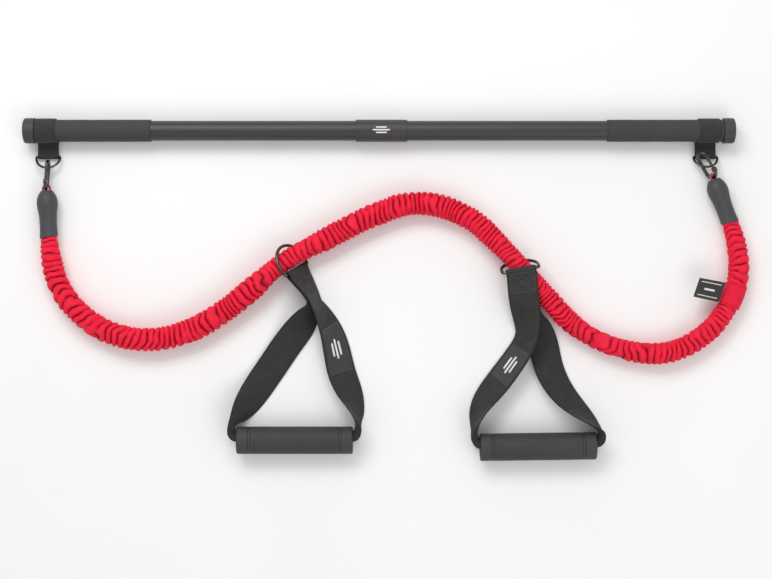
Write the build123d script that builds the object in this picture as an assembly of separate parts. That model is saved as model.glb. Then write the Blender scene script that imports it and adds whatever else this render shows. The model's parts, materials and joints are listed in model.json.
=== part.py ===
from build123d import *
import math
import os

# Exercise bar with an elastic resistance band and two webbing handles, lying on the floor.
# Millimetres, +Z up, floor at Z 0. The bar runs along X on the +Y side, the handles are on the -Y side.

# Exercise bar
BAR_Y = 201.3
BAR_HALF_LENGTH = 450.0
CAP_RADIUS = 16.0
CAP_LENGTH = 14.0
CAP_END_WALL = 4.0
CAP_SPIGOT = 20.0
CAP_EDGE = 2.5
BAR_Z = CAP_RADIUS
TUBE_RADIUS = 12.5
TUBE_WALL = 1.5
FOAM_RADIUS = 14.0
FOAM_INNER_END = 289.0
COLLAR_FROM = -29.5
COLLAR_TO = 35.5
JOINT_X = 3.0
COUPLER_REACH = 50.0
SLIDE_FIT = 0.05
COUPLER_WALL = 2.0

# Webbing loops on the bar
WEBBING_THICKNESS = 1.5
ANCHOR_WIDTH = 27.0
ANCHOR_TAB_WIDTH = 25.4
ANCHOR_X = {"left": -421.8, "right": 415.7}
LOOP_CLEARANCE = 0.3
TAB_END_Y = 169.2
TAB_Z = 4.0

# Small rings in the webbing loops
SMALL_WIRE = 1.5
SMALL_RING_WIDTH = 30.0
SMALL_RING_DEPTH = 17.2
SMALL_RING_CORNER = 1.8
SMALL_RING_END_Z = {"left": 13.4, "right": 14.7}

# Snap hooks
HOOK_WIRE = 2.25
HOOK_HALF_GAP = 6.5
HOOK_STRAIGHT = 22.0
HOOK_FAR_END = {"left": (-420.8, 162.5, 11.0), "right": (407.3, 171.9, 15.0)}
HOOK_ROLL = {"left": 90.0, "right": 45.0}
HOOK_STAND_OFF = 2.5
GATE_WIRE = 1.8
GATE_HINGE_AT = 2.5
GATE_TIP_AT = 15.4
NOSE_AT = 15.7
GATE_BARREL = 2.4
GATE_HALF_THICKNESS = 1.2
FORK_INNER = 1.35
FORK_OUTER = 2.5
PIN_RADIUS = 0.8

# Rubber boots at the two ends of the band
BOOT_LENGTH = 56.9
BOOT_WALL = 2.5
BOOT_MOUTH = 6.4
BOOT_PROFILE = [(0.0, 8.4), (3.5, 11.2), (8.0, 12.9), (13.5, 13.4), (22.0, 12.9), (32.0, 11.5), (43.0, 10.8)]
BOOT_END_RADIUS = 11.0
BOOT_Z = 13.5
BOOT_TOP = {"left": (-422.2, 125.5, BOOT_Z), "right": (424.6, 139.8, BOOT_Z)}
BOOT_BOTTOM = {"left": (-419.3, 68.5, BOOT_Z), "right": (444.8, 86.5, BOOT_Z)}
PLUG_FROM = 13.0
PLUG_TO = 34.0
PLUG_RADIUS = 7.6
END_LOOP_WIRE = 1.3
END_LOOP_HALF = 4.6

# Band: a latex tube in a gathered fabric sleeve, centre line from the left boot to the right boot
BAND_RADIUS = 12.5
SLEEVE_THICKNESS = 1.6
FACE_GAP = 0.1
LATEX_RADIUS = 6.0
LATEX_BORE = 2.5
ROUTE = [
    (-419.3, 68.5, 13.5),
    (-417.5, 34.0, 13.5),
    (-399.0, -14.0, 13.0),
    (-353.0, -53.0, 12.8),
    (-297.0, -67.0, 13.0),
    (-232.0, -52.0, 13.2),
    (-174.0, -12.0, 16.5),
    (-126.0, 34.0, 21.0),
    (-72.0, 62.0, 16.0),
    (-10.0, 94.0, 13.0),
    (48.0, 114.0, 12.8),
    (112.0, 96.0, 14.0),
    (158.0, 52.0, 19.8),
    (204.0, 0.0, 18.6),
    (248.0, -50.0, 13.6),
    (306.0, -78.0, 12.8),
    (370.0, -84.0, 13.0),
    (424.0, -52.0, 12.8),
    (455.5, 0.0, 13.0),
    (457.6, 52.8, 13.5),
    (444.8, 86.5, 13.5),
]
CUFF_HALF_LENGTH = 14.0
CUFF_THICKNESS = 0.9
CUFF_POINT = (443.0, -8.0)
LABEL_CORNERS = [(404.5, 15.0), (437.0, 8.5), (428.0, -16.0), (396.5, -9.0)]
LABEL_Z = 27.6
LABEL_THICKNESS = 0.8

# Handles
BIG_WIRE = 2.0
BIG_RING_WIDTH = 47.0
BIG_RING_DEPTH = 35.0
BIG_RING_CORNER = 4.0
STRAP_WIDTH = 38.0
STRAP_THICKNESS = 2.0
GRIP_RADIUS = 17.35
GRIP_LENGTH = 147.0
GRIP_BORE = 14.0
LINER_WALL = 1.4
GRIP_CENTRE = {"left": (-106.9, -191.0, GRIP_RADIUS), "right": (201.3, -199.0, GRIP_RADIUS)}
GRIP_TURN = {"left": 0.0, "right": 0.74}
INNER_STRIP_HEIGHT = 23.0
INNER_STRIP_THICKNESS = 3.0
STRIP_OVERHANG = 7.0
GRIP_EDGE = 2.0
RING_AT = {"left": 0.349, "right": 0.6295}
RING_TILT = {"left": 47.0, "right": 70.0}
RIGHT_RING_BAR = (0.983, 0.184, 0.0)
RING_BAR_OFFSET = 17.8

# Webbing stations, from the ring to the grip: X, Y, height of the lower edge, roll, width.
# A positive roll lifts the right-hand edge, seen along the run.
STRAP_OUT = {"left": (0.48, -0.84, -0.1), "right": (0.05, -0.98, -0.1)}
NECK = {
    "left": [
        (-91.4, 4.4, 2.0, 60.0, 37.0),
        (-83.8, -9.5, 1.0, 68.0, 36.0),
        (-80.6, -18.4, 1.0, 70.0, 36.0),
    ],
    "right": [
        (180.5, -0.6, 33.0, -4.0, STRAP_WIDTH),
        (183.7, -19.6, 24.0, -14.0, 37.0),
        (187.5, -36.1, 8.0, -30.0, 36.0),
    ],
}
LEG_LEFT = {
    "left": [
        (-81.5, -15.5, 1.5, 69.0, 33.0),
        (-88.9, -29.8, 1.0, 48.0, STRAP_WIDTH),
        (-100.3, -48.8, 1.0, 18.0, STRAP_WIDTH),
        (-115.5, -66.5, 1.0, 4.0, STRAP_WIDTH),
        (-149.7, -117.3, 1.0, 4.0, STRAP_WIDTH),
        (-164.9, -141.3, 1.0, 24.0, STRAP_WIDTH),
        (-178.0, -164.0, 1.0, 58.0, 35.0),
    ],
    "right": [
        (187.0, -33.5, 10.0, -28.0, 33.0),
        (190.0, -57.7, 2.0, -48.0, STRAP_WIDTH),
        (181.1, -76.7, 1.0, -42.0, STRAP_WIDTH),
        (149.5, -119.8, 1.0, -36.0, STRAP_WIDTH),
        (134.2, -138.8, 1.0, -44.0, STRAP_WIDTH),
        (125.0, -159.0, 1.0, -62.0, 36.0),
    ],
}
LEG_RIGHT = {
    "left": [
        (-81.5, -15.5, 1.5, 69.0, 33.0),
        (-74.9, -26.0, 1.0, 62.0, STRAP_WIDTH),
        (-60.3, -52.6, 1.0, 40.0, STRAP_WIDTH),
        (-53.4, -79.2, 1.0, 26.0, STRAP_WIDTH),
        (-48.3, -107.1, 1.0, 20.0, STRAP_WIDTH),
        (-38.8, -128.0, 1.0, 30.0, STRAP_WIDTH),
        (-31.8, -147.7, 1.0, 54.0, 37.0),
        (-28.0, -164.0, 1.0, 76.0, 35.0),
    ],
    "right": [
        (187.0, -33.5, 10.0, -28.0, 33.0),
        (201.4, -48.8, 1.0, -16.0, STRAP_WIDTH),
        (210.3, -70.4, 1.0, -2.0, STRAP_WIDTH),
        (214.1, -95.7, 1.0, 8.0, STRAP_WIDTH),
        (224.2, -119.8, 1.0, 22.0, STRAP_WIDTH),
        (237.6, -138.8, 1.0, 36.0, STRAP_WIDTH),
        (256.0, -157.0, 1.0, 54.0, 37.0),
        (271.5, -171.0, 1.0, 74.0, 35.0),
    ],
}
GRIP_APPROACH = 13.0
GRIP_APPROACH_WIDTH = 31.0
LEG_INSET = 1.3

# Patches sewn on one leg of each strap: stations of the leg that they cover
PATCH_LEG = {"left": LEG_RIGHT["left"][2:5], "right": LEG_LEFT["right"][2:4]}
PATCH_WIDTH = 31.0
PATCH_THICKNESS = 0.6
PATCH_GAP = 0.05


def save(shape, node):
    """Writes one node's STEP file."""
    shape.label = node
    export_step(shape, f"parts/{node}.step")


def unit(vector):
    """The vector at length 1."""
    return Vector(*vector).normalized()


def rod(start, direction, radius, length):
    """A round rod from start, along direction."""
    place = Plane(origin=start, z_dir=direction)
    return place * Cylinder(radius, length, align=(Align.CENTER, Align.CENTER, Align.MIN))


def bar_rod(x_from, x_to, radius):
    """A round rod on the exercise bar's axis."""
    return rod((x_from, BAR_Y, BAR_Z), (1, 0, 0), radius, x_to - x_from)


def wire_sweep(path, radius):
    """Round wire bent along a path."""
    start = Plane(origin=path @ 0, z_dir=path % 0)
    return sweep(start * Circle(radius), path=path)


def d_ring(place, width, depth, corner, wire):
    """A D-ring of round wire: the straight bar lies on the plane's X axis, the bow reaches along -Y."""
    half = width / 2
    shoulder = depth - half
    points = {
        "bar": (half - corner, 0),
        "side": (half, -corner),
        "bow": (half, -shoulder),
    }
    corner_mid = (half - corner + corner * math.sin(math.pi / 4), -corner + corner * math.cos(math.pi / 4))
    edges = [
        Line((-points["bar"][0], 0), points["bar"]),
        ThreePointArc(points["bar"], corner_mid, points["side"]),
        Line(points["side"], points["bow"]),
        ThreePointArc(points["bow"], (0, -depth), (-half, -shoulder)),
        Line((-half, -shoulder), (-half, -corner)),
        ThreePointArc((-half, -corner), (-corner_mid[0], corner_mid[1]), (-points["bar"][0], 0)),
    ]
    return wire_sweep(place * Wire(edges), wire)


def make_bar():
    """Both tube halves, the coupler that joins them, collar, foam sleeves and end caps."""
    tube_end = BAR_HALF_LENGTH - CAP_END_WALL
    bore = TUBE_RADIUS - TUBE_WALL
    save(bar_rod(-tube_end, JOINT_X, TUBE_RADIUS) - bar_rod(-tube_end, JOINT_X, bore), "bar_tube_left")
    right_start = JOINT_X + 0.2
    save(bar_rod(right_start, tube_end, TUBE_RADIUS) - bar_rod(right_start, tube_end, bore), "bar_tube_right")
    coupler = bar_rod(JOINT_X - COUPLER_REACH, JOINT_X, bore)
    coupler += bar_rod(JOINT_X, JOINT_X + COUPLER_REACH, bore - SLIDE_FIT)
    coupler -= bar_rod(JOINT_X - COUPLER_REACH, JOINT_X + COUPLER_REACH, bore - COUPLER_WALL)
    save(coupler, "bar_coupler")
    collar = bar_rod(COLLAR_FROM, COLLAR_TO, FOAM_RADIUS)
    collar -= bar_rod(COLLAR_FROM, JOINT_X, TUBE_RADIUS)
    collar -= bar_rod(JOINT_X, COLLAR_TO, TUBE_RADIUS + SLIDE_FIT)
    save(collar, "centre_collar")
    for side, sign in (("left", -1), ("right", 1)):
        save(make_foam(sign), f"foam_sleeve_{side}")
        save(make_cap(sign), f"end_cap_{side}")


def make_foam(sign):
    """A foam sleeve, from the cap inwards."""
    ends = sorted((sign * FOAM_INNER_END, sign * (BAR_HALF_LENGTH - CAP_LENGTH)))
    return bar_rod(*ends, FOAM_RADIUS) - bar_rod(*ends, TUBE_RADIUS)


def make_cap(sign):
    """An end cap that covers the tube's end and plugs its bore."""
    end = BAR_HALF_LENGTH
    place = Plane(origin=(0, BAR_Y, BAR_Z), x_dir=(0, 1, 0), z_dir=(sign, 0, 0))
    bore = TUBE_RADIUS - TUBE_WALL
    wall = end - CAP_END_WALL
    outline = Polyline(
        (0, end),
        (CAP_RADIUS, end),
        (CAP_RADIUS, end - CAP_LENGTH),
        (TUBE_RADIUS, end - CAP_LENGTH),
        (TUBE_RADIUS, wall),
        (bore, wall),
        (bore, end - CAP_SPIGOT),
        (0, end - CAP_SPIGOT),
        close=True,
    )
    profile = make_face(Plane.XZ * outline)
    cap = revolve(profile, axis=Axis.Z)
    rim = [e for e in cap.edges() if abs(e.center().Z - end) < 0.01 and e.length > TUBE_RADIUS * 4]
    return place * fillet(rim, CAP_EDGE)


def anchor_strap(side):
    """Webbing wrapped round the foam sleeve, with a stitched tab and an eye for the ring's straight bar."""
    x = ANCHOR_X[side]
    inner = FOAM_RADIUS + LOOP_CLEARANCE
    half = ANCHOR_WIDTH / 2
    eye_bore = SMALL_WIRE + LOOP_CLEARANCE
    tab_half = ANCHOR_TAB_WIDTH / 2
    loop_centre = (x, BAR_Y, BAR_Z)
    tab_reach = BAR_Y - 9.0 - TAB_END_Y
    tab = Pos(x, TAB_END_Y + tab_reach / 2, TAB_Z) * Box(ANCHOR_TAB_WIDTH, tab_reach, 2 * WEBBING_THICKNESS)
    strap = rod((x - half, BAR_Y, BAR_Z), (1, 0, 0), inner + WEBBING_THICKNESS, ANCHOR_WIDTH)
    strap += tab
    strap += rod((x - tab_half, TAB_END_Y, TAB_Z), (1, 0, 0), eye_bore + WEBBING_THICKNESS, ANCHOR_TAB_WIDTH)
    strap -= rod((x - half, BAR_Y, BAR_Z), (1, 0, 0), inner, ANCHOR_WIDTH)
    strap -= rod((x - half, TAB_END_Y, TAB_Z), (1, 0, 0), eye_bore, ANCHOR_WIDTH)
    return strap


def anchor_ring(side):
    """The small ring, tipped up from the tab's eye so that its bow runs through the hook."""
    rise = math.asin((SMALL_RING_END_Z[side] - TAB_Z) / SMALL_RING_DEPTH)
    place = Plane(
        origin=(ANCHOR_X[side], TAB_END_Y, TAB_Z),
        x_dir=(1, 0, 0),
        z_dir=(0, math.sin(rise), math.cos(rise)),
    )
    return d_ring(place, SMALL_RING_WIDTH, SMALL_RING_DEPTH, SMALL_RING_CORNER, SMALL_WIRE)


def boot_axis(side):
    """The unit vector from a boot's mouth to its band end."""
    return (Vector(*BOOT_BOTTOM[side]) - Vector(*BOOT_TOP[side])).normalized()


def hook_place(side):
    """The hook's plane: origin at the eye's arc centre, Y towards the far end, X towards the gate."""
    axis = boot_axis(side)
    origin = Vector(*BOOT_TOP[side]) - axis * (HOOK_STAND_OFF + HOOK_HALF_GAP)
    along = (Vector(*HOOK_FAR_END[side]) - origin).normalized()
    level = Vector(0, 0, 1).cross(along).normalized() * -1
    up = along.cross(level) * -1
    roll = math.radians(HOOK_ROLL[side])
    across = level * math.cos(roll) + up * math.sin(roll)
    return Plane(origin=origin, x_dir=across, z_dir=across.cross(along))


def hook_body(place):
    """A bent wire hook with a nose above the gate and a fork for the gate's pin."""
    gap = HOOK_HALF_GAP
    far = HOOK_STRAIGHT
    edges = [
        Line((gap, NOSE_AT), (gap, far)),
        ThreePointArc((gap, far), (0, far + gap), (-gap, far)),
        Line((-gap, far), (-gap, 0)),
        ThreePointArc((-gap, 0), (0, -gap), (gap, 0)),
    ]
    body = wire_sweep(Wire(edges), HOOK_WIRE)
    fork_length = GATE_HINGE_AT + GATE_BARREL + 1.0
    fork = Pos(gap, fork_length / 2 - 1.0, 0) * Box(2 * GATE_BARREL, fork_length, 2 * FORK_OUTER)
    slot_length = fork_length + 1.0
    slot = Pos(gap, slot_length / 2 - 0.1, 0) * Box(4 * GATE_BARREL, slot_length, 2 * FORK_INNER)
    body = body + fork - slot
    body -= Pos(gap, GATE_HINGE_AT, 0) * Cylinder(PIN_RADIUS, 4 * FORK_OUTER)
    return place * body


def hook_gate(place):
    """The sprung gate: a barrel on the pin and a thinner wire up to the nose."""
    gap = HOOK_HALF_GAP
    barrel = Pos(gap, GATE_HINGE_AT, 0) * Cylinder(GATE_BARREL - 0.1, 2 * GATE_HALF_THICKNESS)
    start = GATE_HINGE_AT + GATE_BARREL + 1.2
    wire = rod((gap, start, 0), (0, 1, 0), GATE_WIRE, GATE_TIP_AT - start)
    neck = Pos(gap, (GATE_HINGE_AT + start) / 2 + 0.5, 0)
    neck_box = Box(2 * GATE_HALF_THICKNESS, start - GATE_HINGE_AT + 1.0, 2 * GATE_HALF_THICKNESS)
    gate = barrel + neck * neck_box + wire
    gate -= Pos(gap, GATE_HINGE_AT, 0) * Cylinder(PIN_RADIUS + SLIDE_FIT, 4 * FORK_OUTER)
    return place * gate


def gate_pin(place):
    """The pin through fork and gate."""
    return place * (Pos(HOOK_HALF_GAP, GATE_HINGE_AT, 0) * Cylinder(PIN_RADIUS, 2 * FORK_OUTER))


def boot(side):
    """A hollow rubber boot, turned about its axis, open at the mouth and at the band's end."""
    outer = Spline(*[(r, s) for s, r in BOOT_PROFILE], (BOOT_END_RADIUS, BOOT_LENGTH))
    inner_points = [(r - BOOT_WALL, s) for s, r in BOOT_PROFILE[2:]]
    inner = Spline((BOOT_MOUTH, 3.0), *inner_points, (BOOT_END_RADIUS - BOOT_WALL, BOOT_LENGTH))
    edges = [
        outer,
        Line((BOOT_END_RADIUS, BOOT_LENGTH), (BOOT_END_RADIUS - BOOT_WALL, BOOT_LENGTH)),
        inner,
        Line((BOOT_MOUTH, 3.0), (BOOT_MOUTH, 0)),
        Line((BOOT_MOUTH, 0), (BOOT_PROFILE[0][1], 0)),
    ]
    profile = make_face(Plane.XZ * Wire(edges))
    place = Plane(origin=BOOT_TOP[side], z_dir=boot_axis(side))
    return place * revolve(profile, axis=Axis.Z)


def end_plug(side):
    """The stopper inside the boot that holds the latex tube and the end loop."""
    start = Vector(*BOOT_TOP[side]) + boot_axis(side) * PLUG_FROM
    return rod(start, boot_axis(side), PLUG_RADIUS, PLUG_TO - PLUG_FROM)


def end_loop(side):
    """The cord loop that leaves the boot's mouth and goes round the hook's eye."""
    place_hook = hook_place(side)
    axis = boot_axis(side)
    over = axis.cross(place_hook.x_dir).normalized()
    place = Plane(origin=Vector(*BOOT_TOP[side]) - axis * HOOK_STAND_OFF, x_dir=over, z_dir=over.cross(axis * -1))
    foot = -(HOOK_STAND_OFF + PLUG_FROM)
    half = END_LOOP_HALF
    edges = [
        Line((half, foot), (half, 0)),
        ThreePointArc((half, 0), (0, half), (-half, 0)),
        Line((-half, 0), (-half, foot)),
    ]
    return wire_sweep(place * Wire(edges), END_LOOP_WIRE)


def route_path(points):
    """The band's centre line: straight runs joined by the largest arcs that the runs allow."""
    corners = [Vector(*p) for p in points]
    radii = []
    for before, here, after in zip(corners, corners[1:], corners[2:]):
        turn = math.radians((here - before).get_angle(after - here))
        shorter = min((here - before).length, (after - here).length)
        radii.append(0.45 * shorter / math.tan(turn / 2))
    return FilletPolyline(*points, radius=radii), radii


def make_band():
    """Fabric sleeve, latex tube, sewn cuff and label."""
    path, radii = route_path(ROUTE)
    print("band radii, mm:", [round(r) for r in radii], "smallest in diameters:", round(min(radii) / BAND_RADIUS / 2, 2))
    start = Plane(origin=path @ 0, z_dir=path % 0)
    ring = Circle(BAND_RADIUS) - Circle(BAND_RADIUS - SLEEVE_THICKNESS)
    sleeve = sweep(start * ring, path=path)
    area = math.pi * (BAND_RADIUS**2 - (BAND_RADIUS - SLEEVE_THICKNESS) ** 2)
    print("band length, mm:", round(path.length, 1), "sleeve volume over section x length:", round(sleeve.volume / area / path.length, 4))
    save(sleeve, "band_sleeve")
    inside = BOOT_LENGTH - PLUG_TO - FACE_GAP
    ends = [Vector(*ROUTE[0]) - path % 0 * inside, Vector(*ROUTE[-1]) + path % 1 * inside]
    core_path = FilletPolyline(tuple(ends[0]), *ROUTE[1:-1], tuple(ends[1]), radius=radii)
    core_start = Plane(origin=core_path @ 0, z_dir=core_path % 0)
    save(sweep(core_start * (Circle(LATEX_RADIUS) - Circle(LATEX_BORE)), path=core_path), "latex_core")
    cuff_ring = Circle(BAND_RADIUS + CUFF_THICKNESS) - Circle(BAND_RADIUS)
    middle = min((n / 400 for n in range(401)), key=lambda u: ((path @ u) - Vector(*CUFF_POINT, (path @ u).Z)).length)
    reach = CUFF_HALF_LENGTH / path.length
    stretch = ThreePointArc(path @ (middle - reach), path @ middle, path @ (middle + reach))
    save(sweep(Plane(origin=stretch @ 0, z_dir=stretch % 0) * cuff_ring, path=stretch), "sleeve_cuff")
    tag = extrude(make_face(Polyline(*LABEL_CORNERS, close=True)), LABEL_THICKNESS)
    save(Pos(0, 0, LABEL_Z) * tag, "label_tag")
    return path


def ring_frame(side):
    """Centre of a big ring's opening on the band, and the ring's bar, depth and band directions."""
    centre = band_path @ RING_AT[side]
    tangent = (band_path % RING_AT[side]).normalized()
    up = Vector(0, 0, 1)
    if side == "left":
        tilt = math.radians(RING_TILT[side])
        bar = tangent * math.cos(tilt) - up * math.sin(tilt)
        depth = up.cross(tangent).normalized()
    else:
        bar = unit(RIGHT_RING_BAR)
        tilt = math.radians(RING_TILT[side])
        depth = up.cross(bar) * math.cos(tilt) - up * math.sin(tilt)
    return centre, bar, depth, tangent


def big_ring(side):
    """The handle's ring, round the band."""
    centre, bar, depth, _ = ring_frame(side)
    origin = centre - depth * RING_BAR_OFFSET
    place = Plane(origin=origin, x_dir=bar, z_dir=bar.cross(depth * -1))
    return d_ring(place, BIG_RING_WIDTH, BIG_RING_DEPTH, BIG_RING_CORNER, BIG_WIRE)


def station_places(stations, thickness):
    """Webbing stations as planes across the run, X along the webbing's width."""
    centres = []
    for x, y, lift, roll, width in stations:
        tilt = math.radians(roll)
        height = lift + abs(math.sin(tilt)) * width / 2 + math.cos(tilt) * thickness / 2
        centres.append(Vector(x, y, height))
    places = []
    for index, (centre, station) in enumerate(zip(centres, stations)):
        before = centres[max(index - 1, 0)]
        after = centres[min(index + 1, len(centres) - 1)]
        run = (after - before).normalized()
        right = run.cross(Vector(0, 0, 1)).normalized()
        tilt = math.radians(station[3])
        across = right * math.cos(tilt) + right.cross(run) * math.sin(tilt)
        places.append(Plane(origin=centre, x_dir=across, z_dir=run))
    return places


def ribbon(places, widths, thickness, raised=0.0):
    """Webbing lofted straight from station to station, raised off the stations' own surface."""
    sections = []
    for place, width in zip(places, widths):
        sections.append(place * Pos(0, raised, 0) * Rectangle(width, thickness))
    return loft(sections, ruled=True)


def grip_axis(side):
    """The unit vector along a grip."""
    turn = math.radians(GRIP_TURN[side])
    return Vector(math.cos(turn), math.sin(turn), 0)


def leg_stations(side, sign):
    """A leg's stations, down to the strip in the grip: sign -1 is the left leg."""
    own = (LEG_LEFT if sign < 0 else LEG_RIGHT)[side]
    reach = GRIP_LENGTH / 2 + STRIP_OVERHANG - LEG_INSET
    end = Vector(*GRIP_CENTRE[side]) + grip_axis(side) * sign * reach
    roll = math.copysign(90.0, own[-1][3])
    approach = (end.X, end.Y + GRIP_APPROACH, GRIP_RADIUS - GRIP_APPROACH_WIDTH / 2, roll, GRIP_APPROACH_WIDTH)
    width = INNER_STRIP_HEIGHT - 0.8
    return [*own, approach, (end.X, end.Y - 1.0, GRIP_RADIUS - width / 2, roll, width)]


def handle_strap(side):
    """One webbing strap: an eye on the ring's bar, a neck, two legs and the strip through the grip."""
    centre, bar, depth, _ = ring_frame(side)
    middle = centre - depth * RING_BAR_OFFSET
    eye_bore = BIG_WIRE + LOOP_CLEARANCE
    start = middle - bar * (STRAP_WIDTH / 2)
    eye = rod(start, bar, eye_bore + WEBBING_THICKNESS, STRAP_WIDTH)
    out = unit(STRAP_OUT[side])
    neck_stations = NECK[side]
    neck_places = station_places(neck_stations, 2 * WEBBING_THICKNESS)
    across = bar if bar.dot(neck_places[0].x_dir) > 0 else bar * -1
    square = (across - out * out.dot(across)).normalized()
    neck_places.insert(0, Plane(origin=middle + out * 3.2, x_dir=square, z_dir=out))
    widths = [STRAP_WIDTH - 0.4] + [station[4] for station in neck_stations]
    pieces = [ribbon(neck_places, widths, 2 * WEBBING_THICKNESS)]
    for sign in (-1, 1):
        stations = leg_stations(side, sign)
        places = station_places(stations, STRAP_THICKNESS)
        pieces.append(ribbon(places, [station[4] for station in stations], STRAP_THICKNESS))
    strip = Box(GRIP_LENGTH + 2 * STRIP_OVERHANG, INNER_STRIP_THICKNESS, INNER_STRIP_HEIGHT)
    pieces.append(Pos(*GRIP_CENTRE[side]) * Rot(0, 0, GRIP_TURN[side]) * strip)
    strap = eye.fuse(*pieces)
    return strap - rod(start - bar * 2, bar, eye_bore, STRAP_WIDTH + 4)


def strap_patch(side):
    """The smooth patch sewn on one leg of a strap."""
    stations = PATCH_LEG[side]
    leg = leg_stations(side, 1 if side == "left" else -1)
    first = leg.index(stations[0])
    places = station_places(leg, STRAP_THICKNESS)[first:first + len(stations)]
    raised = STRAP_THICKNESS / 2 + PATCH_GAP + PATCH_THICKNESS / 2
    upward = 1 if places[0].y_dir.Z > 0 else -1
    return ribbon(places, [PATCH_WIDTH] * len(places), PATCH_THICKNESS, upward * raised)


def grip_parts(side):
    """The foam grip and its plastic liner."""
    axis = grip_axis(side)
    start = Vector(*GRIP_CENTRE[side]) - axis * (GRIP_LENGTH / 2)
    outer = rod(start, axis, GRIP_RADIUS, GRIP_LENGTH)
    rims = outer.edges().filter_by(GeomType.CIRCLE)
    foam = fillet(rims, GRIP_EDGE) - rod(start, axis, GRIP_BORE, GRIP_LENGTH)
    liner = rod(start, axis, GRIP_BORE, GRIP_LENGTH) - rod(start, axis, GRIP_BORE - LINER_WALL, GRIP_LENGTH)
    return foam, liner


os.makedirs("parts", exist_ok=True)
make_bar()
for side in ("left", "right"):
    save(anchor_strap(side), f"anchor_strap_{side}")
    save(anchor_ring(side), f"anchor_ring_{side}")
    save(hook_body(hook_place(side)), f"hook_body_{side}")
    save(hook_gate(hook_place(side)), f"hook_gate_{side}")
    save(gate_pin(hook_place(side)), f"gate_pin_{side}")
    save(boot(side), f"boot_{side}")
    save(end_plug(side), f"end_plug_{side}")
    save(end_loop(side), f"end_loop_{side}")
band_path = make_band()
for side in ("left", "right"):
    save(big_ring(side), f"handle_ring_{side}")
    save(handle_strap(side), f"handle_strap_{side}")
    save(strap_patch(side), f"strap_patch_{side}")
    foam, liner = grip_parts(side)
    save(foam, f"grip_{side}")
    save(liner, f"grip_liner_{side}")
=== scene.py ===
import itertools
import json
import math

import bpy
import numpy as np
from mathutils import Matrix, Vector


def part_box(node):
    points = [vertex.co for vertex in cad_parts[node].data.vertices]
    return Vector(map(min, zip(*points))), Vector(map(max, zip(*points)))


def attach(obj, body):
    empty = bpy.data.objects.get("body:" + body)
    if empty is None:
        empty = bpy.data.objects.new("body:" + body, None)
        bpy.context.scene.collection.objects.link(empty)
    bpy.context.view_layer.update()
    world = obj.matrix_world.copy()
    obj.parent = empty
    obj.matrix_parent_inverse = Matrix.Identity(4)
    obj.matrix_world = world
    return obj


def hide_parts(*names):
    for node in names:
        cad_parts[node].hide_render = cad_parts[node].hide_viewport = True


# Looks for the exercise set: a red gathered band, its bar with webbing loops and hooks, and two handles.
# Lengths are metres. MM turns the shorter numbers, which are millimetres, into metres.

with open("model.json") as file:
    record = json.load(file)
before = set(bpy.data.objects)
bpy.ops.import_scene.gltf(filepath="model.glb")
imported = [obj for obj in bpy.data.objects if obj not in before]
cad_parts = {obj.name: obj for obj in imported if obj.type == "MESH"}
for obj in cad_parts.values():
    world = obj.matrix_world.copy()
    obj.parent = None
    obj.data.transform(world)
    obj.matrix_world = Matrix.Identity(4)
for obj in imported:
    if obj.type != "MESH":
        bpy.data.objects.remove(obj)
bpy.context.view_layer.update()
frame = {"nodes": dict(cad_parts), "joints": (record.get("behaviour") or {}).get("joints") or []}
MM = 0.001
UP = np.array([0.0, 0.0, 1.0])
SIDES = ("left", "right")
JOINTS = {joint["name"]: joint for joint in frame["joints"]}
BAR_AXIS = np.array(JOINTS["bar_roll"]["pos_m"])

# Camera: straight above the set
CAMERA_HEIGHT = 2.1
CAMERA_CENTRE = (0.0087, 0.0)
VIEW_WIDTH = 0.979
VIEW_LEVEL = 0.016
SENSOR = 36.0
FLOOR_HALF = 6.0
WORLD_STRENGTH = 0.66

# Band: the same route as its CAD tube, with the fabric a little fuller
BAND_ROUTE = [
    (-0.4193, 0.0685, 0.0135),
    (-0.4175, 0.0340, 0.0138),
    (-0.3990, -0.0140, 0.0146),
    (-0.3530, -0.0530, 0.0148),
    (-0.2970, -0.0670, 0.0150),
    (-0.2320, -0.0520, 0.0150),
    (-0.1740, -0.0120, 0.0170),
    (-0.1260, 0.0340, 0.0210),
    (-0.0720, 0.0620, 0.0165),
    (-0.0100, 0.0940, 0.0150),
    (0.0480, 0.1140, 0.0148),
    (0.1120, 0.0960, 0.0150),
    (0.1580, 0.0520, 0.0198),
    (0.2040, 0.0000, 0.0186),
    (0.2480, -0.0500, 0.0140),
    (0.3060, -0.0780, 0.0132),
    (0.3700, -0.0840, 0.0134),
    (0.4240, -0.0520, 0.0138),
    (0.4555, 0.0000, 0.0140),
    (0.4576, 0.0528, 0.0137),
    (0.4448, 0.0865, 0.0135),
]
BAND_STEP = 0.55 * MM
BAND_COLUMNS = 84
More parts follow.
